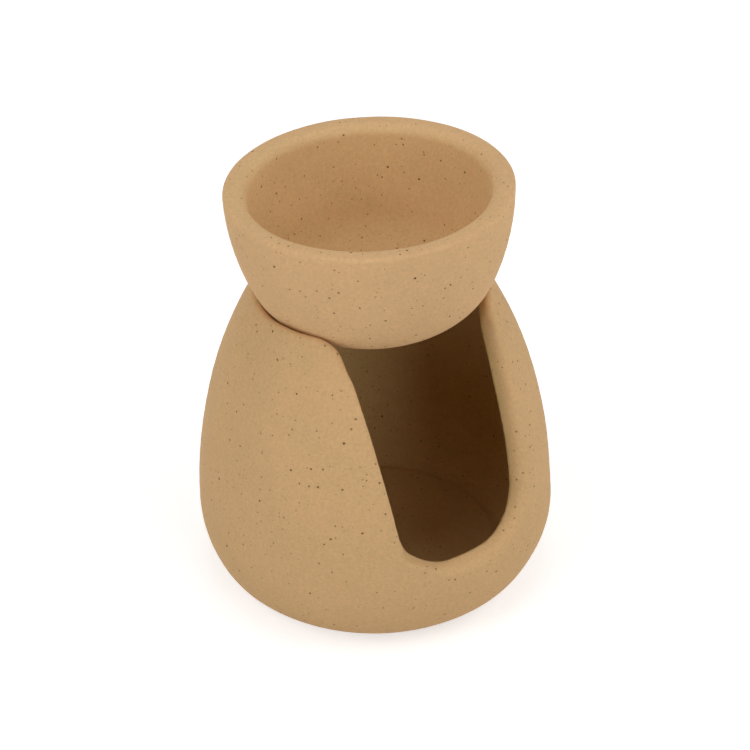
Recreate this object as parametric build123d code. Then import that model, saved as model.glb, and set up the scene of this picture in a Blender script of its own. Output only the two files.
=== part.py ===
from build123d import *
import os
from math import cos, radians, sin, tan

os.makedirs("parts", exist_ok=True)

# Essential oil burner in two loose stoneware pieces. The base is an egg-shaped
# shell with a notch cut down through its rim, where a tealight goes in. The
# oil bowl rests in the open top of the base and lifts off.
# Millimetres. The origin is the centre of the foot on the ground, +Z is up
# and the notch faces -Y.

# Seat: the circle on the bowl's wall that the rim of the base carries
seat_radius = 33.0
seat_height = 99.6
seat_gap = 0.3

# Outline of the base, which swells from the belly down to the foot and up to
# the crown. The crown is a little wider and higher than the seat cut out of it.
foot_radius = 36.3
belly_radius = 55.1
belly_height = 26.0
crown_beyond_seat = 0.8
crown_above_seat = 4.4
low_swell_share = (0.198, 0.615)
high_swell_share = (0.261, 0.534)

# Wall, floor and foot of the base. The wall is thickest at the shoulder, half
# way up from the belly, and thins to the rim.
foot_wall = 5.2
belly_wall = 5.3
shoulder_wall = 6.4
rim_wall = 3.6
floor_height = 6.0
foot_ring_width = 6.0
foot_recess = 1.5
foot_edge_round = 0.8

# Notch in the front of the base, open through its rim. Its sizes are those in
# the upright plane that touches the belly. It narrows inwards by the splay on
# every side, and leans a little to the left of the front.
sill_above_belly = 4.6
notch_low_width = 43.2
notch_mouth_width = 64.2
notch_corner_radius = 17.5
notch_splay = 14.0
notch_lean = 2.3
notch_lean_height = 50.0
notch_inner_depth = 5.0
notch_shoulder_round = 14.0
outer_edge_round = 1.3
inner_edge_round = 1.2

# Oil bowl, measured from its own flat bottom. It swells from the lip down.
bowl_radius = 42.8
bowl_height = 42.3
bowl_foot_radius = 17.6
bowl_swell_share = (0.236, 0.684)
bowl_wall = 5.9
bowl_lip_wall = 6.9
bowl_outer_lip_round = 0.9
bowl_inner_lip_round = 3.5

# The bowl rocks a little off level in its seat. The bearing of the line that
# it rocks about is in degrees clockwise from the right, seen from above.
bowl_lean = 1.6
bowl_lean_bearing = 121.4

# Length by which a cutting shape runs past what it cuts
overrun = 4.0

UP, DOWN = (0, 1), (0, -1)


def between(start, end, share):
    """Point at a share of the way across and a share of the way up."""
    across, up = share
    return (start[0] + across * (end[0] - start[0]),
            start[1] + up * (end[1] - start[1]))


def swell(start, heading, via, end):
    """Two arcs that meet smoothly, from a start and its heading to an end."""
    first = TangentArc(start, via, tangent=heading)
    return first, TangentArc(via, end, tangent=first % 1)


def beside(arc, place, distance):
    """Point at a distance to the left of an arc, square to it, at a place along it."""
    slope = arc % place
    return arc @ place + distance * Vector(-slope.Y, slope.X)


def lining(arcs, near_wall, middle_wall, far_wall):
    """The two arcs of a swell, moved to their left by the wall at their near, middle and far ends."""
    first, second = arcs
    via = beside(first, 1, middle_wall)
    return swell(beside(first, 0, near_wall), first % 0, via, beside(second, 1, far_wall))


def turned(section):
    """Body of revolution of an upright half section about the axis."""
    return revolve(Plane.YZ * section, Axis.Z)


def bowl_outer_wall():
    """Outer wall of the bowl, from its lip down to its flat bottom."""
    lip, foot = (bowl_radius, bowl_height), (bowl_foot_radius, 0)
    return swell(lip, DOWN, between(lip, foot, bowl_swell_share), foot)


def seat_on_bowl():
    """Height on the bowl of its seat, and height and radius of the ball that fits it there."""
    seat_line = Axis((seat_radius, 0), UP)
    arc = next(arc for arc in bowl_outer_wall() if arc.find_intersection_points(seat_line))
    point = arc.find_intersection_points(seat_line)[0]
    slope = arc.tangent_at(point)
    rise = seat_radius * slope.X / slope.Y
    return point.Y, point.Y + rise, Vector(seat_radius, rise).length


def base_section():
    """Half section of the base, up past the seat."""
    foot, belly = (foot_radius, 0), (belly_radius, belly_height)
    crown = (seat_radius + crown_beyond_seat, seat_height + crown_above_seat)
    low_wall = swell(belly, DOWN, between(belly, foot, low_swell_share), foot)
    high_wall = swell(belly, UP, between(belly, crown, high_swell_share), crown)
    high_lining = lining(high_wall, belly_wall, shoulder_wall, rim_wall)
    low_lining = lining(low_wall, -belly_wall, -belly_wall, -foot_wall)
    bottom, top, middle = low_lining[1] @ 1, high_lining[1] @ 1, (0, crown[1])
    outside = make_face([*low_wall, *high_wall, Polyline(crown, middle, (0, 0), foot)])
    hollow = make_face([*low_lining, *high_lining, Polyline(top, crown, middle, (0, bottom.Y), bottom)])
    floor = Rectangle(belly_radius, floor_height, align=Align.MIN)
    recess = Rectangle(foot_radius - foot_ring_width, foot_recess, align=Align.MIN)
    section = outside - (hollow - floor) - recess
    ring_edge = section.vertices().group_by(Axis.Y)[0].sort_by(Axis.X)[0]
    return fillet(ring_edge, foot_edge_round)


def notch_section(depth):
    """Upright section of the notch at a depth in front of the axis."""
    inset = tan(radians(notch_splay)) * (belly_radius - depth)
    low, mouth = notch_low_width / 2 - inset, notch_mouth_width / 2 - inset
    sill = belly_height + sill_above_belly + inset
    top = seat_height + crown_above_seat + overrun
    outline = Polygon((-mouth, top), (-low, sill), (low, sill), (mouth, top), align=None)
    corners = outline.vertices().sort_by(Axis.Y)[:2]
    corner_radius = notch_corner_radius * low / (notch_low_width / 2)
    return Plane.XZ.offset(depth) * fillet(corners, corner_radius)


def notch_shape():
    """Splayed body of the notch, from inside the hollow to past the belly."""
    sections = [notch_section(depth) for depth in (notch_inner_depth, belly_radius + overrun)]
    hinge = Axis((0, 0, notch_lean_height), (0, 1, 0))
    return loft(sections, ruled=True).rotate(hinge, -notch_lean)


def runs_up_the_notch(edge):
    """Whether an edge of the seat's ball runs up one side of the notch."""
    box = edge.bounding_box()
    return box.max.Y < 0 and box.size.Z > box.size.X


def opening_shape():
    """Everything cut from the rim: the ball of the seat joined to the notch."""
    seat_level, centre_level, ball_radius = seat_on_bowl()
    centre = Pos(Z=seat_height + centre_level - seat_level)
    seam_at_the_back = Rot(Z=90)
    shape = centre * seam_at_the_back * Sphere(ball_radius + seat_gap) + notch_shape()
    ball_edges = shape.faces().filter_by(GeomType.SPHERE)[0].edges()
    shoulders = [edge for edge in shape.edges() if edge in ball_edges and runs_up_the_notch(edge)]
    return fillet(shoulders, notch_shoulder_round)


def edges_on(shell, loop):
    """The edges of a shell that make up a closed loop."""
    on_loop = loop.edges()
    return [edge for edge in shell.edges() if edge in on_loop]


def make_base():
    """Egg-shaped shell with a foot ring, the notch and the seat."""
    blank, opening = turned(base_section()), opening_shape()
    shell = blank - opening
    inner_loop, outer_loop = Wire.combine(new_edges(blank, opening, combined=shell)).sort_by(SortBy.LENGTH)
    shell = fillet(edges_on(shell, outer_loop), outer_edge_round)
    return fillet(edges_on(shell, inner_loop), inner_edge_round)


def bowl_section():
    """Half section of the bowl, standing on its own flat bottom."""
    outer_wall = bowl_outer_wall()
    inner_wall = lining(outer_wall, -bowl_lip_wall, -bowl_wall, -bowl_wall)
    floor_edge = inner_wall[1] @ 1
    lip = Line(outer_wall[0] @ 0, inner_wall[0] @ 0)
    middle = Polyline(floor_edge, (0, floor_edge.Y), (0, 0), (bowl_foot_radius, 0))
    section = make_face([*outer_wall, lip, *inner_wall, middle])
    section = fillet(section.vertices().group_by(Axis.Y)[-1].sort_by(Axis.X)[0], bowl_inner_lip_round)
    return fillet(section.vertices().sort_by(Axis.X)[-1], bowl_outer_lip_round)


def make_bowl():
    """Open bowl with a thick lip, rocked off level in its seat."""
    seat_level, centre_level, _ = seat_on_bowl()
    bearing = radians(bowl_lean_bearing)
    hinge = Axis((0, 0, centre_level), (cos(bearing), -sin(bearing), 0))
    return Pos(Z=seat_height - seat_level) * turned(bowl_section()).rotate(hinge, bowl_lean)


for name, piece in (("burner_base", make_base()), ("oil_bowl", make_bowl())):
    piece.label = name
    export_step(piece, f"parts/{name}.step")
    print(name, "valid" if piece.is_valid else "not valid", round(piece.volume), "mm3")
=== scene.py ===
"""Essential oil burner of speckled stoneware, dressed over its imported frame.

Two loose pieces of fired clay: an egg-shaped base with a notch in its front, and
the oil bowl that rests in the base's open top. Each is the frame's own shape laid
out anew as even quads, with the slight unevenness of handwork, in one matte body
of clay with dark iron specks. Metres, with +Z up and the notch facing -Y. A value
whose name ends in _mm is in millimetres.
"""

import logging
import math
from dataclasses import dataclass
from enum import Enum
from typing import Any

import bmesh
import bpy
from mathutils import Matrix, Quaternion, Vector


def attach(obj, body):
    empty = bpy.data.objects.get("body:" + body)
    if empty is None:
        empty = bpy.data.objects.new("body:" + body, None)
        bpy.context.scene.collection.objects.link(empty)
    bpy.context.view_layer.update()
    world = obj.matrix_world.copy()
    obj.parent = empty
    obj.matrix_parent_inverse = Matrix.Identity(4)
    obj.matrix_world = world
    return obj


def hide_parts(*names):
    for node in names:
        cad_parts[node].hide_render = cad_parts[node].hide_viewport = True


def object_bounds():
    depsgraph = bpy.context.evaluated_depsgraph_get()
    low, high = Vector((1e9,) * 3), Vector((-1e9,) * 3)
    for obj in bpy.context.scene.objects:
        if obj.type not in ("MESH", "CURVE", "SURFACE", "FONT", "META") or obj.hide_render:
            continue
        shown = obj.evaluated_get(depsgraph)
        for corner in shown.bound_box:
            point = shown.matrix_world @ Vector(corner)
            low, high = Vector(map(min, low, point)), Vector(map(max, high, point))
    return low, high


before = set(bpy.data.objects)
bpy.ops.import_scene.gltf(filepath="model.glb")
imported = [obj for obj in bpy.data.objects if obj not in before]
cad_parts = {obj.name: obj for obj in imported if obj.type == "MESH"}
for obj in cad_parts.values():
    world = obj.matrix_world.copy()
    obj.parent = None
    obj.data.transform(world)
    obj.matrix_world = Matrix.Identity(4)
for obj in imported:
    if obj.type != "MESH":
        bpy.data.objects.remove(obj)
cad_low, cad_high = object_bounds()

log = logging.getLogger("oil_burner")

Tree = bpy.types.NodeTree
Socket = bpy.types.NodeSocket
Outputs = bpy.types.NodeOutputs
Settings = dict[str, tuple[str, Any]]
Triple = tuple[float, float, float]
Span = tuple[float, float]

MM = 0.001
MERGE_MM = 0.001

# A vector times this keeps what it has across and along, and loses its height
ON_THE_LEVEL = (1.0, 1.0, 0.0)

# The way out of the notch
FORWARDS = (0.0, -1.0, 0.0)

# Middle of the range of a noise texture
NOISE_MIDDLE = 0.5

# Numbers of a Mix node's sockets, whose names are the same for numbers and colours
NUMBER_A, NUMBER_B = 2, 3
COLOUR_A, COLOUR_B, COLOUR_RESULT = 6, 7, 2


class Zone(Enum):
    """How the unevenness of handwork keeps clear of the other piece."""

    BELOW_SEAT = "fades out going up to the seat"
    AWAY_FROM_SEAT = "fades out near the seat, above it and below"


def hex_to_linear(code: str) -> tuple[float, float, float, float]:
    """Turns an sRGB hex colour to linear light.

    Args:
        code: Six hex digits after a hash mark.

    Returns:
        Linear red, green and blue, and an alpha of 1.
    """
    shares = [int(code[i:i + 2], 16) / 255 for i in (1, 3, 5)]
    linear = [s / 12.92 if s <= 0.04045 else ((s + 0.055) / 1.055) ** 2.4 for s in shares]
    return (*linear, 1.0)


def direction(bearing: float, elevation: float) -> Vector:
    """Turns a bearing and an elevation to a way out from the burner.

    Args:
        bearing: Degrees round the burner from straight in front of the notch.
        elevation: Degrees above the horizon.

    Returns:
        A vector of length 1.
    """
    turn, tilt = math.radians(bearing), math.radians(elevation)
    return Vector((math.sin(turn) * math.cos(tilt), -math.cos(turn) * math.cos(tilt), math.sin(tilt)))


def add_node(tree: Tree, kind: str, inputs: dict[Any, Any] | tuple[Any, ...] = (),
             **settings: Any) -> bpy.types.Node:
    """Adds a node with its settings and links.

    Args:
        tree: The tree that takes the node.
        kind: The node's type, as Blender names it.
        inputs: What the inputs get, in their order or by their names or numbers:
            an output to link from, or a plain value.
        **settings: The node's own properties.

    Returns:
        The new node.
    """
    node = tree.nodes.new(kind)
    for name, value in settings.items():
        setattr(node, name, value)
    for key, value in inputs.items() if isinstance(inputs, dict) else enumerate(inputs):
        if isinstance(value, Socket):
            tree.links.new(value, node.inputs[key])
        else:
            node.inputs[key].default_value = value
    return node


def leaning_out(tree: Tree, place: Socket, normal: Socket) -> Socket:
    """Builds how far the surface faces away from the burner's axis.

    Args:
        tree: The tree under construction.
        place: Position of each point.
        normal: The surface's normal there.

    Returns:
        A float output, 1 where it faces straight away and -1 straight inwards.
    """
    level = add_node(tree, "ShaderNodeVectorMath", (place, ON_THE_LEVEL), operation="MULTIPLY")
    outward = add_node(tree, "ShaderNodeVectorMath", (level.outputs[0],), operation="NORMALIZE")
    return add_node(tree, "ShaderNodeVectorMath", (normal, outward.outputs[0]),
                    operation="DOT_PRODUCT").outputs["Value"]


def nearness(tree: Tree, place: Socket, centre: Socket, reach: Socket) -> Socket:
    """Builds how near each point is to a centre.

    Args:
        tree: The tree under construction.
        place: Position of each point.
        centre: The centre.
        reach: Distance from it that still counts.

    Returns:
        A float output that falls softly from 1 at the centre to 0 at the reach.
    """
    away = add_node(tree, "ShaderNodeVectorMath", (place, centre), operation="DISTANCE")
    return add_node(tree, "ShaderNodeMapRange",
                    {"Value": away.outputs["Value"], "From Max": reach, "To Min": 1.0, "To Max": 0.0},
                    interpolation_type="SMOOTHSTEP").outputs[0]


@dataclass(frozen=True)
class IronSpecks:
    """One size of iron speck scattered through the clay.

    Attributes:
        spacing_mm: Mean distance between specks inside the clay.
        radius_mm: Radius of the largest speck.
        share: Share of the places that hold a speck.
        code: sRGB colour of a speck.
        smallest: Radius of the smallest speck, as a share of the largest one's.
        faintest: How far the faintest speck covers the clay's colour, where the
            strongest covers it whole.
        core: Share of a speck's radius inside which its colour is full.
    """

    spacing_mm: float
    radius_mm: float
    share: float
    code: str
    smallest: float = 0.35
    faintest: float = 0.35
    core: float = 0.7

    def cover(self, tree: Tree, place: Socket) -> Socket:
        """Builds the share of the surface's colour that these specks take.

        Args:
            tree: The material's tree.
            place: Object coordinates, a little warped so that no speck is round.

        Returns:
            An output that is 0 on bare clay and up to 1 on a speck.
        """
        cells = add_node(tree, "ShaderNodeTexVoronoi",
                         {"Vector": place, "Scale": 1 / (self.spacing_mm * MM)}).outputs
        chance = add_node(tree, "ShaderNodeSeparateColor", (cells["Color"],)).outputs
        present = add_node(tree, "ShaderNodeMath", (chance["Red"], self.share), operation="LESS_THAN")
        largest = self.radius_mm / self.spacing_mm
        radius = add_node(tree, "ShaderNodeMapRange", {
            "Value": chance["Green"], "To Min": self.smallest * largest, "To Max": largest})
        radius = add_node(tree, "ShaderNodeMath", (radius.outputs[0], present.outputs[0]),
                          operation="MULTIPLY").outputs[0]
        core = add_node(tree, "ShaderNodeMath", (radius, self.core), operation="MULTIPLY").outputs[0]
        disc = add_node(tree, "ShaderNodeMapRange",
                        {"Value": cells["Distance"], "From Min": core, "From Max": radius,
                         "To Min": 1.0, "To Max": 0.0}, interpolation_type="SMOOTHSTEP").outputs[0]
        depth = add_node(tree, "ShaderNodeMapRange",
                         {"Value": chance["Blue"], "To Min": self.faintest}).outputs[0]
        return add_node(tree, "ShaderNodeMath", (disc, depth), operation="MULTIPLY").outputs[0]


@dataclass(frozen=True)
class Hollow:
    """Painted shade on the inside of a thrown piece: where its walls face the axis inside an egg shape,
    the clay's colour is made darker.

    Attributes:
        level_mm: Height of the middle of the egg shape that holds the hollow.
        radius_mm: Half of the egg's width.
        height_mm: Half of the egg's height.
        painted_shade_tint: What the clay's red, green and blue are multiplied by, as painted shade.
        facing: From where to where the painted shade ends as the wall turns to face away from the axis,
            as a cosine.
        skin: Share of the egg's size from which the painted shade ends towards its outside.
    """

    level_mm: float
    radius_mm: float
    height_mm: float
    painted_shade_tint: Triple
    facing: Span = (0.25, 0.4)
    skin: float = 0.985

    def colour(self, tree: Tree, place: Socket, clay: Socket) -> Socket:
        """Builds the clay's colour with the painted shade of the hollow.

        Args:
            tree: The material's tree.
            place: Object coordinates.
            clay: The clay's colour.

        Returns:
            A colour output.
        """
        normal = add_node(tree, "ShaderNodeTexCoord").outputs["Normal"]
        middle = (0.0, 0.0, self.level_mm * MM)
        egg = [1 / (size * MM) for size in (self.radius_mm, self.radius_mm, self.height_mm)]
        centred = add_node(tree, "ShaderNodeVectorMath", (place, middle), operation="SUBTRACT").outputs[0]
        shares = add_node(tree, "ShaderNodeVectorMath", (centred, egg), operation="MULTIPLY").outputs[0]
        reach = add_node(tree, "ShaderNodeVectorMath", (shares,), operation="LENGTH").outputs["Value"]
        limits = ((leaning_out(tree, place, normal), *self.facing), (reach, self.skin, 1.0))
        masks = tuple(
            add_node(tree, "ShaderNodeMapRange", {"Value": value, "From Min": start, "From Max": end,
                                                  "To Min": 1.0, "To Max": 0.0}).outputs[0]
            for value, start, end in limits)
        share = add_node(tree, "ShaderNodeMath", masks, operation="MULTIPLY").outputs[0]
        # Painted shade: the clay's colour is multiplied down on the hollow's inward-facing walls.
        shade_tinted = add_node(tree, "ShaderNodeVectorMath", (clay, self.painted_shade_tint), operation="MULTIPLY")
        return add_node(tree, "ShaderNodeMix",
                        {"Factor": share, COLOUR_A: clay, COLOUR_B: shade_tinted.outputs[0]},
                        data_type="RGBA").outputs[COLOUR_RESULT]


@dataclass(frozen=True)
class SpeckledStoneware:
    """Unglazed stoneware: iron-bearing buff clay, thrown, sponged smooth and fired.

    It gives a matte, warm tan surface with a soft cloudiness, a fine tooth and dark
    specks where grains of iron melted through. The real tooth and grain are finer
    than a tenth of a millimetre, and are drawn as coarse as they need to show.

    Attributes:
        name: The material's name.
        hollow: The painted shade on the piece's inside.
        light_code: sRGB colour of the paler clouds.
        dark_code: sRGB colour of the deeper clouds.
        cloud_mm: Size of the clouds.
        mottle_mm: Size of the finer mottling.
        mottle_share: Share of the mottling in the clouds' pattern.
        cloud_span: Levels of that pattern that give the deeper and the paler colour.
        grain_mm: Size of the grains of paler and darker clay.
        grain_contrast: How far a grain is paler or darker than the clay round it.
        grain_span: Levels of the grain's pattern that give the darkest and the palest.
        tooth_mm: Size of the clay's tooth.
        tooth_depth_mm: Height of the tooth.
        pit_share: Depth of the pit at a speck, as a share of the tooth's height.
        warp_mm: Size of the waves in the outlines of the specks.
        warp_depth_mm: Height of those waves.
        roughness: Roughness of the fired surface.
        ior: Refractive index of the fired clay.
        gloss: Level of its faint gloss, where 0.5 is what the index gives.
        specks: The sizes of iron speck, finest first.
    """

    name: str
    hollow: Hollow
    light_code: str = "#D6AD7B"
    dark_code: str = "#CFA977"
    cloud_mm: float = 16.0
    mottle_mm: float = 2.6
    mottle_share: float = 0.45
    cloud_span: Span = (0.35, 0.65)
    grain_mm: float = 0.9
    grain_contrast: float = 0.06
    grain_span: Span = (0.3, 0.7)
    tooth_mm: float = 0.7
    tooth_depth_mm: float = 0.05
    pit_share: float = 0.8
    warp_mm: float = 0.5
    warp_depth_mm: float = 0.35
    roughness: float = 0.8
    ior: float = 1.5
    gloss: float = 0.3
    specks: tuple[IronSpecks, ...] = (
        IronSpecks(spacing_mm=1.8, radius_mm=0.27, share=0.8, code="#835600"),
        IronSpecks(spacing_mm=2.7, radius_mm=0.48, share=0.9, code="#643E02"),
    )

    def material(self) -> bpy.types.Material:
        """Builds the material.

        Returns:
            The finished material.
        """
        made = bpy.data.materials.new(self.name)
        made.use_nodes = True
        tree = made.node_tree
        tree.nodes.clear()
        place = add_node(tree, "ShaderNodeTexCoord").outputs["Object"]
        # The hollow paints shade onto the piece's inside walls.
        colour = self.hollow.colour(tree, place, self.clay_colour(tree, place))
        warped = self.warped(tree, place)
        covers = [size.cover(tree, warped) for size in self.specks]
        for size, cover in zip(self.specks, covers):
            iron = hex_to_linear(size.code)
            colour = add_node(tree, "ShaderNodeMix", {"Factor": cover, COLOUR_A: colour, COLOUR_B: iron},
                              data_type="RGBA").outputs[COLOUR_RESULT]
        clay = add_node(tree, "ShaderNodeBsdfPrincipled", {
            "Base Color": colour, "Roughness": self.roughness, "IOR": self.ior,
            "Specular IOR Level": self.gloss, "Normal": self.toothed_normal(tree, place, covers)})
        add_node(tree, "ShaderNodeOutputMaterial", {"Surface": clay.outputs[0]})
        return made

    def clay_colour(self, tree: Tree, place: Socket) -> Socket:
        """Builds the clay's own cloudy colour, without specks.

        Args:
            tree: The material's tree.
            place: Object coordinates.

        Returns:
            A colour output.
        """
        clouds = add_node(tree, "ShaderNodeTexNoise", {
            "Vector": place, "Scale": 1 / (self.cloud_mm * MM), "Detail": 3.0})
        mottle = add_node(tree, "ShaderNodeTexNoise", {
            "Vector": place, "Scale": 1 / (self.mottle_mm * MM), "Detail": 4.0, "Roughness": 0.6})
        pattern = add_node(tree, "ShaderNodeMix", {
            "Factor": self.mottle_share, NUMBER_A: clouds.outputs[0], NUMBER_B: mottle.outputs[0]})
        share = add_node(tree, "ShaderNodeMapRange", {
            "Value": pattern.outputs[0], "From Min": self.cloud_span[0], "From Max": self.cloud_span[1]})
        colour = add_node(tree, "ShaderNodeMix", {
            "Factor": share.outputs[0], COLOUR_A: hex_to_linear(self.dark_code),
            COLOUR_B: hex_to_linear(self.light_code)}, data_type="RGBA").outputs[COLOUR_RESULT]
        grain = add_node(tree, "ShaderNodeTexNoise", {
            "Vector": place, "Scale": 1 / (self.grain_mm * MM), "Detail": 2.0})
        level = add_node(tree, "ShaderNodeMapRange", {
            "Value": grain.outputs[0], "From Min": self.grain_span[0], "From Max": self.grain_span[1],
            "To Min": 1 - self.grain_contrast, "To Max": 1 + self.grain_contrast})
        return add_node(tree, "ShaderNodeVectorMath", {0: colour, "Scale": level.outputs[0]},
                        operation="SCALE").outputs[0]

    def warped(self, tree: Tree, place: Socket) -> Socket:
        """Builds coordinates with small waves, so that no speck is round.

        Args:
            tree: The material's tree.
            place: Object coordinates.

        Returns:
            A vector output.
        """
        warp = add_node(tree, "ShaderNodeTexNoise", {
            "Vector": place, "Scale": 1 / (self.warp_mm * MM), "Detail": 1.0})
        shift = add_node(tree, "ShaderNodeVectorMath", (warp.outputs["Color"], (NOISE_MIDDLE,) * 3),
                         operation="SUBTRACT")
        depth = (self.warp_depth_mm * MM,) * 3
        return add_node(tree, "ShaderNodeVectorMath", (shift.outputs[0], depth, place),
                        operation="MULTIPLY_ADD").outputs[0]

    def toothed_normal(self, tree: Tree, place: Socket, covers: list[Socket]) -> Socket:
        """Builds the normal of the clay's tooth, with a pit at each speck.

        Args:
            tree: The material's tree.
            place: Object coordinates.
            covers: Where the specks of each size are.

        Returns:
            A vector output.
        """
        pits = covers[0]
        for cover in covers[1:]:
            pits = add_node(tree, "ShaderNodeMath", (pits, cover), operation="MAXIMUM").outputs[0]
        tooth = add_node(tree, "ShaderNodeTexNoise", {
            "Vector": place, "Scale": 1 / (self.tooth_mm * MM), "Detail": 3.0, "Roughness": 0.6})
        height = add_node(tree, "ShaderNodeMath", (pits, -self.pit_share, tooth.outputs[0]),
                          operation="MULTIPLY_ADD")
        return add_node(tree, "ShaderNodeBump", {
            "Height": height.outputs[0], "Strength": 1.0,
            "Distance": self.tooth_depth_mm * MM}).outputs[0]


@dataclass(frozen=True)
class Push:
    """A place where the potter's hand pushed the soft wall.

    Attributes:
        label: Name of the place, for the tree's inputs.
        centre_mm: Where the push is strongest.
        reach_mm: How far round that place the wall gives way.
        travel_mm: How far and which way the wall moves there.
    """

    label: str
    centre_mm: Triple
    reach_mm: float
    travel_mm: Triple

    def settings(self) -> Settings:
        """Lists the tree's inputs for this place.

        Returns:
            The kind and value of each input, by its name.
        """
        return {f"{self.label} Centre": ("Vector", [size * MM for size in self.centre_mm]),
                f"{self.label} Reach": ("Float", self.reach_mm * MM),
                f"{self.label} Travel": ("Vector", [size * MM for size in self.travel_mm])}

    def offset(self, tree: Tree, given: Outputs, place: Socket) -> Socket:
        """Builds the way that each point moves.

        Args:
            tree: The tree under construction.
            given: The group's inputs.
            place: Position of each point.

        Returns:
            A vector output, which is zero past the reach.
        """
        share = nearness(tree, place, given[f"{self.label} Centre"], given[f"{self.label} Reach"])
        return add_node(tree, "ShaderNodeVectorMath", {0: given[f"{self.label} Travel"], "Scale": share},
                        operation="SCALE").outputs[0]


@dataclass(frozen=True)
class TurnedRing:
    """A groove or bead that the potter's tool turned all round.

    Attributes:
        label: Name of the ring, for the tree's inputs.
        radius_mm: Distance from the axis.
        level_mm: Height above the ground.
        half_width_mm: Half of its width.
        rise_mm: Height of the bead, or less than zero for a groove.
    """

    label: str
    radius_mm: float
    level_mm: float
    half_width_mm: float
    rise_mm: float

    def settings(self) -> Settings:
        """Lists the tree's inputs for the ring.

        Returns:
            The kind and value of each input, by its name.
        """
        return {f"{self.label} Place": ("Vector", (self.radius_mm * MM, self.level_mm * MM, 0.0)),
                f"{self.label} Half Width": ("Float", self.half_width_mm * MM),
                f"{self.label} Rise": ("Float", self.rise_mm * MM)}

    def rise(self, tree: Tree, given: Outputs, place: Socket, height: Socket) -> Socket:
        """Builds the height that the ring adds at each point.

        Args:
            tree: The tree under construction.
            given: The group's inputs.
            place: Position of each point.
            height: Height of each point.

        Returns:
            A float output.
        """
        level = add_node(tree, "ShaderNodeVectorMath", (place, ON_THE_LEVEL), operation="MULTIPLY")
        radius = add_node(tree, "ShaderNodeVectorMath", (level.outputs[0],), operation="LENGTH")
        section = add_node(tree, "ShaderNodeCombineXYZ", (radius.outputs["Value"], height)).outputs[0]
        share = nearness(tree, section, given[f"{self.label} Place"], given[f"{self.label} Half Width"])
        return add_node(tree, "ShaderNodeMath", (share, given[f"{self.label} Rise"]),
                        operation="MULTIPLY").outputs[0]


@dataclass(frozen=True)
class Sponging:
    """Cut edges that a wet sponge wore round, most on one side of the notch.

    Attributes:
        passes: Strokes of the sponge; more of them wear a rounder edge.
        reach_passes: Strokes by which the wear spreads past the cut.
        side_mm: From where to where across the notch the wear sets in.
        low_mm: From where to where it sets in going up from the foot.
        high_mm: From where to where it sets in going down from the rim.
        cut_facing: How far the cut's faces look forwards, as a cosine.
        cut_spread: How far from that the cosine of such a face may be.
        wall_facing: Cosine from which a face looks away from the axis as the outer
            wall does, and is no face of the cut.
        front_mm: How far in front of the axis the cut's faces begin.
        gain: What the wear is multiplied by once it has spread, up to full wear.
        free_facing: From where to where the surface gives way to the sponge as it
            turns from the hollow's side to look forwards, as a cosine.
    """

    passes: int
    reach_passes: int
    side_mm: Span
    low_mm: Span
    high_mm: Span
    cut_facing: float = 0.24
    cut_spread: float = 0.2
    wall_facing: float = 0.6
    front_mm: float = 5.0
    gain: float = 2.5
    free_facing: Span = (-0.05, 0.2)

    def settings(self) -> Settings:
        """Lists the tree's inputs for the sponging.

        Returns:
            The kind and value of each input, by its name.
        """
        inputs: Settings = {"Sponge Passes": ("Int", self.passes),
                            "Sponge Reach Passes": ("Int", self.reach_passes)}
        for name, (start, end) in (("Sponge Side", self.side_mm), ("Sponge Low", self.low_mm),
                                   ("Sponge High", self.high_mm)):
            inputs[name] = ("Vector", (start * MM, end * MM, 0.0))
        return inputs

    def position(self, tree: Tree, given: Outputs) -> Socket:
        """Builds each point's worn position. The hollow's side of the wall stays where it is.

        Args:
            tree: The tree under construction.
            given: The group's inputs.

        Returns:
            A vector output.
        """
        place = add_node(tree, "GeometryNodeInputPosition").outputs[0]
        normal = add_node(tree, "GeometryNodeInputNormal").outputs[0]
        facing = add_node(tree, "ShaderNodeVectorMath", (normal, FORWARDS),
                          operation="DOT_PRODUCT").outputs["Value"]
        cut = self.cut(tree, given, place, normal, facing)
        spread = add_node(tree, "GeometryNodeBlurAttribute", {
            "Value": cut, "Iterations": given["Sponge Reach Passes"]}, data_type="FLOAT")
        near_cut = add_node(tree, "ShaderNodeMath", (spread.outputs[0], self.gain),
                            operation="MULTIPLY", use_clamp=True)
        free = add_node(tree, "ShaderNodeMapRange", {
            "Value": facing, "From Min": self.free_facing[0], "From Max": self.free_facing[1]},
            interpolation_type="SMOOTHSTEP")
        weight = add_node(tree, "ShaderNodeMath", (near_cut.outputs[0], free.outputs[0]),
                          operation="MULTIPLY")
        return add_node(tree, "GeometryNodeBlurAttribute", {
            "Value": place, "Iterations": given["Sponge Passes"], "Weight": weight.outputs[0]},
            data_type="FLOAT_VECTOR").outputs[0]

    def cut(self, tree: Tree, given: Outputs, place: Socket, normal: Socket, facing: Socket) -> Socket:
        """Builds where the notch's cut faces are worn.

        Args:
            tree: The tree under construction.
            given: The group's inputs.
            place: Position of each point.
            normal: The surface's normal there.
            facing: How far it looks forwards.

        Returns:
            A float output, up to 1 on the cut and 0 elsewhere.
        """
        spot = add_node(tree, "ShaderNodeSeparateXYZ", (place,)).outputs
        shares = []
        for axis, span in (("X", "Sponge Side"), ("Z", "Sponge Low"), ("Z", "Sponge High")):
            ends = add_node(tree, "ShaderNodeSeparateXYZ", (given[span],)).outputs
            shares.append(add_node(tree, "ShaderNodeMapRange",
                                   {"Value": spot[axis], "From Min": ends["X"], "From Max": ends["Y"]},
                                   interpolation_type="SMOOTHSTEP").outputs[0])
        shares.append(add_node(tree, "ShaderNodeMath", (facing, self.cut_facing, self.cut_spread),
                               operation="COMPARE").outputs[0])
        for value, limit in ((leaning_out(tree, place, normal), self.wall_facing),
                             (spot["Y"], -self.front_mm * MM)):
            shares.append(add_node(tree, "ShaderNodeMath", (value, limit),
                                   operation="LESS_THAN").outputs[0])
        worn, *others = shares
        for share in others:
            worn = add_node(tree, "ShaderNodeMath", (worn, share), operation="MULTIPLY").outputs[0]
        return worn


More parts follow.
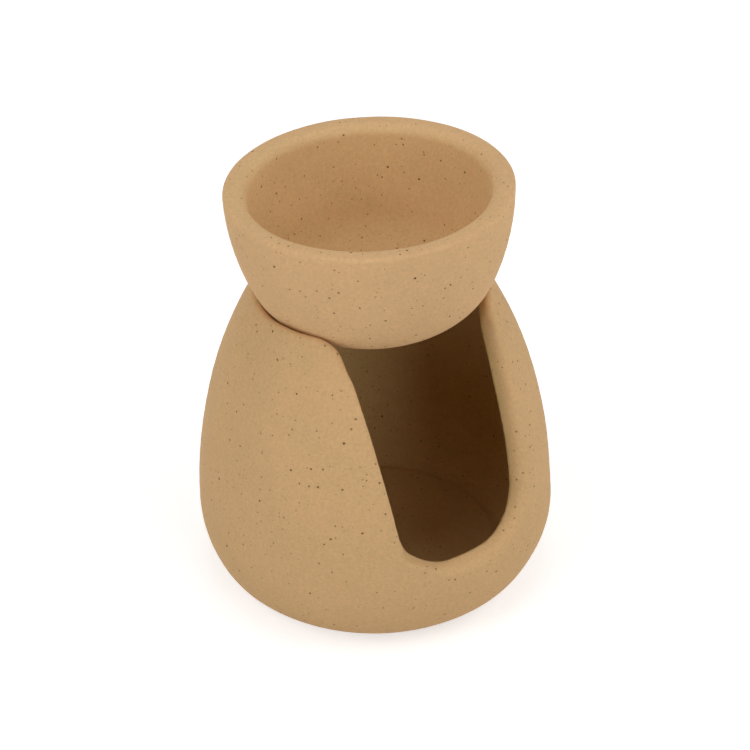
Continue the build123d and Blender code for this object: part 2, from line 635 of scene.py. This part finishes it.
@dataclass(frozen=True)
class Handwork:
    """The slight unevenness that the potter's hand leaves in a thrown wall.

    Attributes:
        zone: How it keeps clear of the other piece.
        swell_mm: Height of the slow swells and hollows of the wall.
        swell_size_mm: Size of those swells.
        ring_mm: Height of the throwing rings.
        ring_spacing_mm: Height from one ring to the next.
        seat_clearance_mm: Height over which the unevenness fades near the seat.
        foot_clearance_mm: Height over which it fades going down to the ground.
        seed: Picks one pattern of swells.
        pushes: Places where the wall was pushed.
        sponging: How its cut edges were worn round, if it has any.
        rings: Grooves and beads turned all round.
        bare_share: Share of the seat's clearance that is left wholly even.
        waver_mm: Length of the rings' slow waver round the wall.
        waver_rings: How many rings' spacing they waver by.
    """

    zone: Zone
    swell_mm: float
    swell_size_mm: float
    ring_mm: float
    ring_spacing_mm: float
    seat_clearance_mm: float
    foot_clearance_mm: float
    seed: float
    pushes: tuple[Push, ...] = ()
    sponging: Sponging | None = None
    rings: tuple[TurnedRing, ...] = ()
    bare_share: float = 0.5
    waver_mm: float = 30.0
    waver_rings: float = 2.0

    def settings(self) -> Settings:
        """Lists the tree's inputs for the unevenness.

        Returns:
            The kind and value of each input, by its name.
        """
        inputs: Settings = {
            "Swell Height": ("Float", self.swell_mm * MM),
            "Swell Size": ("Float", self.swell_size_mm * MM),
            "Ring Height": ("Float", self.ring_mm * MM),
            "Ring Spacing": ("Float", self.ring_spacing_mm * MM),
            "Seat Clearance": ("Float", self.seat_clearance_mm * MM),
            "Foot Clearance": ("Float", self.foot_clearance_mm * MM),
            "Seed": ("Float", self.seed),
        }
        for part in (*self.pushes, *self.rings, self.sponging):
            if part:
                inputs |= part.settings()
        return inputs

    def swells(self, tree: Tree, given: Outputs, place: Socket) -> Socket:
        """Builds the slow swells and hollows.

        Args:
            tree: The tree under construction.
            given: The group's inputs.
            place: Position of each point.

        Returns:
            Height of the swells at each point.
        """
        scale = add_node(tree, "ShaderNodeMath", (1.0, given["Swell Size"]), operation="DIVIDE")
        cloud = add_node(tree, "ShaderNodeTexNoise", {
            "Vector": place, "W": given["Seed"], "Scale": scale.outputs[0], "Detail": 1.5},
            noise_dimensions="4D")
        about_zero = add_node(tree, "ShaderNodeMath", (cloud.outputs[0], NOISE_MIDDLE),
                              operation="SUBTRACT")
        return add_node(tree, "ShaderNodeMath", (about_zero.outputs[0], given["Swell Height"]),
                        operation="MULTIPLY").outputs[0]

    def throwing_rings(self, tree: Tree, given: Outputs, place: Socket, height: Socket) -> Socket:
        """Builds the faint rings of throwing, which waver a little round the wall.

        Args:
            tree: The tree under construction.
            given: The group's inputs.
            place: Position of each point.
            height: Height of each point.

        Returns:
            Height of the rings at each point.
        """
        waver = add_node(tree, "ShaderNodeTexNoise", {
            "Vector": place, "Scale": 1 / (self.waver_mm * MM), "Detail": 1.0})
        turns = add_node(tree, "ShaderNodeMath", (height, given["Ring Spacing"]), operation="DIVIDE")
        phase = add_node(tree, "ShaderNodeMath", (waver.outputs[0], self.waver_rings, turns.outputs[0]),
                         operation="MULTIPLY_ADD")
        angle = add_node(tree, "ShaderNodeMath", (phase.outputs[0], math.tau), operation="MULTIPLY")
        wave = add_node(tree, "ShaderNodeMath", (angle.outputs[0],), operation="SINE")
        return add_node(tree, "ShaderNodeMath", (wave.outputs[0], given["Ring Height"]),
                        operation="MULTIPLY").outputs[0]

    def fade(self, tree: Tree, given: Outputs, height: Socket) -> Socket:
        """Builds the share of the unevenness that is left near the seat and the ground.

        Args:
            tree: The tree under construction.
            given: The group's inputs.
            height: Height of each point.

        Returns:
            0 at the seat and on the ground, and 1 past the clearances.
        """
        above = add_node(tree, "ShaderNodeMath", (height, given["Seat Level"]), operation="SUBTRACT")
        turn = "ABSOLUTE" if self.zone is Zone.AWAY_FROM_SEAT else "MULTIPLY"
        away = add_node(tree, "ShaderNodeMath", (above.outputs[0], -1.0), operation=turn)
        bare = add_node(tree, "ShaderNodeMath", (self.bare_share, given["Seat Clearance"]),
                        operation="MULTIPLY")
        seat = add_node(tree, "ShaderNodeMapRange", {
            "Value": away.outputs[0], "From Min": bare.outputs[0], "From Max": given["Seat Clearance"]},
            interpolation_type="SMOOTHSTEP")
        foot = add_node(tree, "ShaderNodeMapRange", {
            "Value": height, "From Max": given["Foot Clearance"]}, interpolation_type="SMOOTHSTEP")
        return add_node(tree, "ShaderNodeMath", (seat.outputs[0], foot.outputs[0]),
                        operation="MULTIPLY").outputs[0]

    def offset(self, tree: Tree, given: Outputs) -> Socket:
        """Builds the way that each point of the even wall moves.

        Args:
            tree: The tree under construction.
            given: The group's inputs.

        Returns:
            A vector output.
        """
        place = add_node(tree, "GeometryNodeInputPosition").outputs[0]
        height = add_node(tree, "ShaderNodeSeparateXYZ", (place,)).outputs["Z"]
        swells, rings = self.swells(tree, given, place), self.throwing_rings(tree, given, place, height)
        uneven = add_node(tree, "ShaderNodeMath", (swells, rings), operation="ADD").outputs[0]
        rise = add_node(tree, "ShaderNodeMath", (uneven, self.fade(tree, given, height)),
                        operation="MULTIPLY").outputs[0]
        for ring in self.rings:
            rise = add_node(tree, "ShaderNodeMath", (rise, ring.rise(tree, given, place, height)),
                            operation="ADD").outputs[0]
        normal = add_node(tree, "GeometryNodeInputNormal").outputs[0]
        moved = add_node(tree, "ShaderNodeVectorMath", {0: normal, "Scale": rise},
                         operation="SCALE").outputs[0]
        for push in self.pushes:
            moved = add_node(tree, "ShaderNodeVectorMath", (moved, push.offset(tree, given, place)),
                             operation="ADD").outputs[0]
        return moved


@dataclass
class ClayPiece:
    """One thrown piece of clay over its CAD node.

    Attributes:
        finish: Its clay.
        node: The CAD node that it stands for.
        body: The body that it moves with.
        slot: Name of a material slot for the piece; not used.
        name: The piece's name.
        quad_mm: Size of its quads.
        handwork: Its unevenness.
    """

    finish: SpeckledStoneware
    node: str
    body: str
    slot: str
    name: str
    quad_mm: float
    handwork: Handwork

    def merged_copy(self) -> bpy.types.Object:
        """Copies the CAD node's mesh and merges its loose triangles.

        Returns:
            A new object at the origin.
        """
        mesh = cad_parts[self.node].data.copy()
        mesh.name = self.name
        work = bmesh.new()
        work.from_mesh(mesh)
        bmesh.ops.remove_doubles(work, verts=work.verts, dist=MERGE_MM * MM)
        work.to_mesh(mesh)
        work.free()
        mesh.materials.clear()
        piece = bpy.data.objects.new(self.name, mesh)
        bpy.context.scene.collection.objects.link(piece)
        return piece

    def handwork_tree(self, settings: Settings) -> Tree:
        """Builds the Geometry Nodes tree that seats the quads on the CAD wall and works it by hand.

        Args:
            settings: The kind and value of each input, by its name.

        Returns:
            The tree.
        """
        tree = bpy.data.node_groups.new(self.name + "_handwork", "GeometryNodeTree")
        tree.interface.new_socket("Geometry", in_out="INPUT", socket_type="NodeSocketGeometry")
        for label, (kind, _) in settings.items():
            tree.interface.new_socket(label, in_out="INPUT", socket_type="NodeSocket" + kind)
        tree.interface.new_socket("Geometry", in_out="OUTPUT", socket_type="NodeSocketGeometry")
        given = add_node(tree, "NodeGroupInput").outputs
        wall = add_node(tree, "GeometryNodeObjectInfo", {"Object": given["CAD Wall"]})
        nearest = add_node(tree, "GeometryNodeProximity", (wall.outputs["Geometry"],),
                           target_element="FACES")
        seated = add_node(tree, "GeometryNodeSetPosition", {
            "Geometry": given["Geometry"], "Position": nearest.outputs["Position"]})
        if self.handwork.sponging:
            seated = add_node(tree, "GeometryNodeSetPosition", {
                "Geometry": seated.outputs[0], "Position": self.handwork.sponging.position(tree, given)})
        worked = add_node(tree, "GeometryNodeSetPosition", {
            "Geometry": seated.outputs[0], "Offset": self.handwork.offset(tree, given)})
        smooth = add_node(tree, "GeometryNodeSetShadeSmooth", {"Geometry": worked.outputs[0]})
        real = add_node(tree, "GeometryNodeRealizeInstances", {"Geometry": smooth.outputs[0]})
        dressed = add_node(tree, "GeometryNodeSetMaterial", {
            "Geometry": real.outputs[0], "Material": given["Clay"]})
        add_node(tree, "NodeGroupOutput", (dressed.outputs[0],))
        return tree

    def build(self, seat_level: float) -> bpy.types.Object:
        """Builds the piece, dresses it and seats it in the frame.

        Args:
            seat_level: Height of the seat above the ground.

        Returns:
            The finished piece.
        """
        piece = self.merged_copy()
        quads = piece.modifiers.new("even_quads", "REMESH")
        quads.mode = "VOXEL"
        quads.voxel_size = self.quad_mm * MM
        settings: Settings = {
            "CAD Wall": ("Object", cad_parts[self.node]),
            "Seat Level": ("Float", seat_level),
            "Clay": ("Material", self.finish.material()),
        } | self.handwork.settings()
        worked = piece.modifiers.new("handwork", "NODES")
        worked.node_group = self.handwork_tree(settings)
        for item in worked.node_group.interface.items_tree:
            if item.in_out == "INPUT" and item.name in settings:
                worked[item.identifier] = settings[item.name][1]
        shown = piece.evaluated_get(bpy.context.evaluated_depsgraph_get())
        mesh = bpy.data.meshes.new_from_object(shown)
        piece.modifiers.clear()
        piece.data = mesh
        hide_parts(self.node)
        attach(piece, self.body)
        log.info("%s: %d quads", piece.name, len(piece.data.polygons))
        return piece


@dataclass
class BurnerBase(ClayPiece):
    """The egg-shaped base: thrown, then notched with a knife and sponged smooth."""

    node: str = "burner_base"
    body: str = "base"
    slot: str = "base_stoneware"
    name: str = "thrown_base"
    quad_mm: float = 0.98
    handwork: Handwork = Handwork(
        zone=Zone.BELOW_SEAT,
        swell_mm=0.5,
        swell_size_mm=35.0,
        ring_mm=0.02,
        ring_spacing_mm=5.0,
        seat_clearance_mm=14.0,
        foot_clearance_mm=8.0,
        seed=3.7,
        pushes=(
            Push("Left Rim", (-33.0, -12.5, 101.5), reach_mm=16.0, travel_mm=(-1.75, -0.75, 2.15)),
            Push("Left Shoulder", (-28.5, -20.5, 100.5), reach_mm=9.0, travel_mm=(-0.1, -0.3, 0.8)),
            Push("Left Hollow", (-36.0, 3.0, 100.0), reach_mm=12.0, travel_mm=(0.0, 0.0, -0.4)),
            Push("Notch Shoulder", (-26.8, -27.5, 95.0), reach_mm=6.5, travel_mm=(-0.6, 0.35, -0.2)),
            Push("Notch Corner", (-18.8, -50.1, 37.8), reach_mm=6.0, travel_mm=(-1.0, 0.1, -0.8)),
            Push("Right Belly", (43.0, -26.0, 12.0), reach_mm=26.0, travel_mm=(0.9, -0.5, 0.0)),
        ),
        sponging=Sponging(passes=24, reach_passes=8, side_mm=(-12.0, 4.0), low_mm=(16.0, 26.0),
                          high_mm=(98.0, 86.0)),
        rings=(
            TurnedRing("Floor Groove", radius_mm=39.0, level_mm=6.0, half_width_mm=2.4, rise_mm=-1.0),
            TurnedRing("Seat Bead", radius_mm=32.4, level_mm=98.5, half_width_mm=1.4, rise_mm=0.45),
        ),
    )


@dataclass
class OilBowl(ClayPiece):
    """The deep oil bowl with its thick, soft lip."""

    node: str = "oil_bowl"
    body: str = "bowl"
    slot: str = "bowl_stoneware"
    name: str = "thrown_bowl"
    quad_mm: float = 0.62
    handwork: Handwork = Handwork(
        zone=Zone.AWAY_FROM_SEAT,
        swell_mm=0.4,
        swell_size_mm=28.0,
        ring_mm=0.02,
        ring_spacing_mm=4.0,
        seat_clearance_mm=12.0,
        foot_clearance_mm=8.0,
        seed=8.2,
    )


@dataclass(frozen=True)
class Camera:
    """The photograph's camera.

    Attributes:
        bearing: Degrees round the object from straight in front of the notch.
        elevation: Degrees above the horizon.
        distance: Metres to the point that it is aimed by.
        height: Height of that point on the burner's axis, in metres.
        lens: Focal length in mm on a sensor 36 mm wide.
        roll: Degrees that the camera is turned about its own line of sight.
        across: Where the aimed point lies, in pixels right of the picture's middle.
        down: Where it lies, in pixels below the middle.
        picture_width: Width of the picture that those pixels belong to.
    """

    bearing: float = -31.4
    elevation: float = 34.225
    distance: float = 0.750
    height: float = 0.060
    lens: float = 116.83
    roll: float = -1.105
    across: float = -1.8
    down: float = 20.85
    picture_width: float = 750.0

    def build(self) -> bpy.types.Object:
        """Sets the camera up and makes it the scene's.

        Returns:
            The camera object.
        """
        data = bpy.data.cameras.new("camera")
        data.lens = self.lens
        back = direction(self.bearing, self.elevation)
        focal = self.lens / data.sensor_width * self.picture_width
        aimed = Vector((self.across / focal, -self.down / focal, -1)).normalized()
        camera = bpy.data.objects.new("camera", data)
        camera.rotation_mode = "QUATERNION"
        camera.rotation_quaternion = (
            (-back).to_track_quat("-Z", "Y")
            @ Quaternion((0, 0, 1), math.radians(self.roll))
            @ aimed.rotation_difference(Vector((0, 0, -1))))
        camera.location = Vector((0, 0, self.height)) + self.distance * back
        bpy.context.scene.collection.objects.link(camera)
        bpy.context.scene.camera = camera
        return camera


@dataclass(frozen=True)
class SoftLight:
    """A soft studio panel that faces the burner.

    Attributes:
        name: The light's name.
        bearing: Degrees round the burner from straight in front of the notch.
        elevation: Degrees above the horizon.
        size: Width of the square panel in metres.
        level: Light on a wall that faces it, where 1 shows a colour as it is written.
        distance: Metres from the burner's middle.
    """

    name: str
    bearing: float
    elevation: float
    size: float
    level: float
    distance: float = 1.3

    def build(self, middle: Vector) -> bpy.types.Object:
        """Sets the panel up.

        Args:
            middle: The burner's middle.

        Returns:
            The light object.
        """
        data = bpy.data.lights.new(self.name, "AREA")
        data.shape = "SQUARE"
        data.size = self.size
        data.energy = self.level * math.pi * math.pi * self.distance ** 2
        back = direction(self.bearing, self.elevation)
        light = bpy.data.objects.new(self.name, data)
        light.rotation_mode = "QUATERNION"
        light.rotation_quaternion = (-back).to_track_quat("-Z", "Y")
        light.location = middle + self.distance * back
        bpy.context.scene.collection.objects.link(light)
        return light


@dataclass(frozen=True)
class Studio:
    """White studio: a pale paper floor, a white backdrop and soft panels all round.

    Attributes:
        floor_size: Width of the square floor in metres.
        floor_code: sRGB colour of the floor.
        floor_glow: Light that lifts the floor near the burner, for the eye only.
        glow_span: Metres from the burner over which that light rises to full white.
        lights: The soft panels, the strongest first.
    """

    floor_size: float = 8.0
    floor_code: str = "#E7E7E7"
    floor_glow: float = 0.56
    glow_span: Span = (0.35, 1.0)
    lights: tuple[SoftLight, ...] = (
        SoftLight("left_panel", bearing=-90, elevation=42, size=1.0, level=0.335),
        SoftLight("right_panel", bearing=45, elevation=42, size=1.0, level=0.269),
        SoftLight("low_front_panel", bearing=0, elevation=15, size=0.6, level=0.257),
        SoftLight("top_panel", bearing=0, elevation=89.9, size=0.8, level=0.200),
        SoftLight("low_left_panel", bearing=-90, elevation=15, size=0.6, level=0.154),
        SoftLight("low_right_panel", bearing=90, elevation=15, size=0.6, level=0.113),
        SoftLight("low_back_panel", bearing=180, elevation=15, size=0.6, level=0.089),
        SoftLight("back_panel", bearing=135, elevation=42, size=1.0, level=0.067),
        SoftLight("front_panel", bearing=0, elevation=42, size=1.0, level=0.063),
        SoftLight("low_back_left_panel", bearing=-135, elevation=15, size=0.6, level=0.043),
        SoftLight("low_back_right_panel", bearing=135, elevation=15, size=0.6, level=0.021),
    )

    def build(self, middle: Vector) -> None:
        """Sets the floor, the backdrop and the panels up.

        Args:
            middle: The burner's middle.
        """
        self.build_floor()
        self.build_backdrop()
        for light in self.lights:
            light.build(middle)

    def build_floor(self) -> bpy.types.Object:
        """Lays the floor, which shows white to the camera but for the burner's shadow.

        It is matte white paper, rolled out flat: soft and even, with no gloss.

        Returns:
            The floor.
        """
        half = self.floor_size / 2
        corners = [(-half, -half, 0), (half, -half, 0), (half, half, 0), (-half, half, 0)]
        mesh = bpy.data.meshes.new("floor")
        mesh.from_pydata(corners, [], [(0, 1, 2, 3)])
        floor = bpy.data.objects.new("floor", mesh)
        bpy.context.scene.collection.objects.link(floor)
        paper = bpy.data.materials.new("white_paper_floor")
        paper.use_nodes = True
        tree = paper.node_tree
        tree.nodes.clear()
        place = add_node(tree, "ShaderNodeTexCoord").outputs["Object"]
        away = add_node(tree, "ShaderNodeVectorMath", (place,), operation="LENGTH").outputs["Value"]
        lifted = add_node(tree, "ShaderNodeMapRange", {
            "Value": away, "From Min": self.glow_span[0], "From Max": self.glow_span[1],
            "To Min": self.floor_glow}, interpolation_type="SMOOTHSTEP")
        glow = add_node(tree, "ShaderNodeMath", (self.seen(tree), lifted.outputs[0]),
                        operation="MULTIPLY")
        matte = add_node(tree, "ShaderNodeBsdfDiffuse", {"Color": hex_to_linear(self.floor_code)})
        lift = add_node(tree, "ShaderNodeEmission", {"Strength": glow.outputs[0]})
        both = add_node(tree, "ShaderNodeAddShader", (matte.outputs[0], lift.outputs[0]))
        add_node(tree, "ShaderNodeOutputMaterial", {"Surface": both.outputs[0]})
        mesh.materials.append(paper)
        return floor

    def seen(self, tree: Tree) -> Socket:
        """Builds 1 for rays that show the studio to the eye, and 0 for rays that light the burner.

        Args:
            tree: The tree under construction.

        Returns:
            A float output.
        """
        rays = add_node(tree, "ShaderNodeLightPath").outputs
        seen = rays["Is Camera Ray"]
        for ray in ("Is Glossy Ray", "Is Transmission Ray"):
            seen = add_node(tree, "ShaderNodeMath", (seen, rays[ray]), operation="MAXIMUM").outputs[0]
        return seen

    def build_backdrop(self) -> None:
        """Shows the world white to the eye, while the panels alone light the burner."""
        world = bpy.data.worlds.new("backdrop")
        world.use_nodes = True
        tree = world.node_tree
        tree.nodes.clear()
        backdrop = add_node(tree, "ShaderNodeBackground", {
            "Color": (1.0, 1.0, 1.0, 1.0), "Strength": self.seen(tree)})
        add_node(tree, "ShaderNodeOutputWorld", {"Surface": backdrop.outputs[0]})
        bpy.context.scene.world = world


@dataclass(frozen=True)
class OilBurner:
    """The whole burner: its base and its oil bowl.

    Attributes:
        base_clay: The clay of the base.
        bowl_clay: The clay of the bowl: a paler copy of the base's clay, as painted light on the bowl.
        seat_level_mm: Height of the seat, where the bowl rests in the base.
    """

    base_clay: SpeckledStoneware = SpeckledStoneware(
        "speckled_stoneware",
        # Painted shade inside the base's chamber, darkening its inward-facing walls.
        Hollow(level_mm=26.0, radius_mm=51.0, height_mm=96.0, painted_shade_tint=(0.955, 1.02, 0.94)))
    bowl_clay: SpeckledStoneware = SpeckledStoneware(
        "painted_light_speckled_stoneware",
        # Painted shade inside the bowl, darkening its inward-facing walls.
        Hollow(level_mm=100.0, radius_mm=100.0, height_mm=37.0, painted_shade_tint=(0.97, 1.01, 0.985)),
        # A paler copy of the base's clay: painted light on the whole bowl.
        light_code="#DFB583", dark_code="#D9B07F")
    seat_level_mm: float = 99.6

    def build(self) -> list[bpy.types.Object]:
        """Builds both pieces.

        Returns:
            The finished pieces.
        """
        pieces = (BurnerBase(self.base_clay), OilBowl(self.bowl_clay))
        return [piece.build(self.seat_level_mm * MM) for piece in pieces]


def main() -> None:
    """Builds the burner, the camera and the studio."""
    logging.basicConfig(level=logging.INFO, format="%(name)s: %(message)s")
    bpy.context.scene.view_settings.view_transform = "Standard"
    OilBurner().build()
    Camera().build()
    Studio().build((cad_low + cad_high) / 2)


if __name__ == "__main__":
    main()
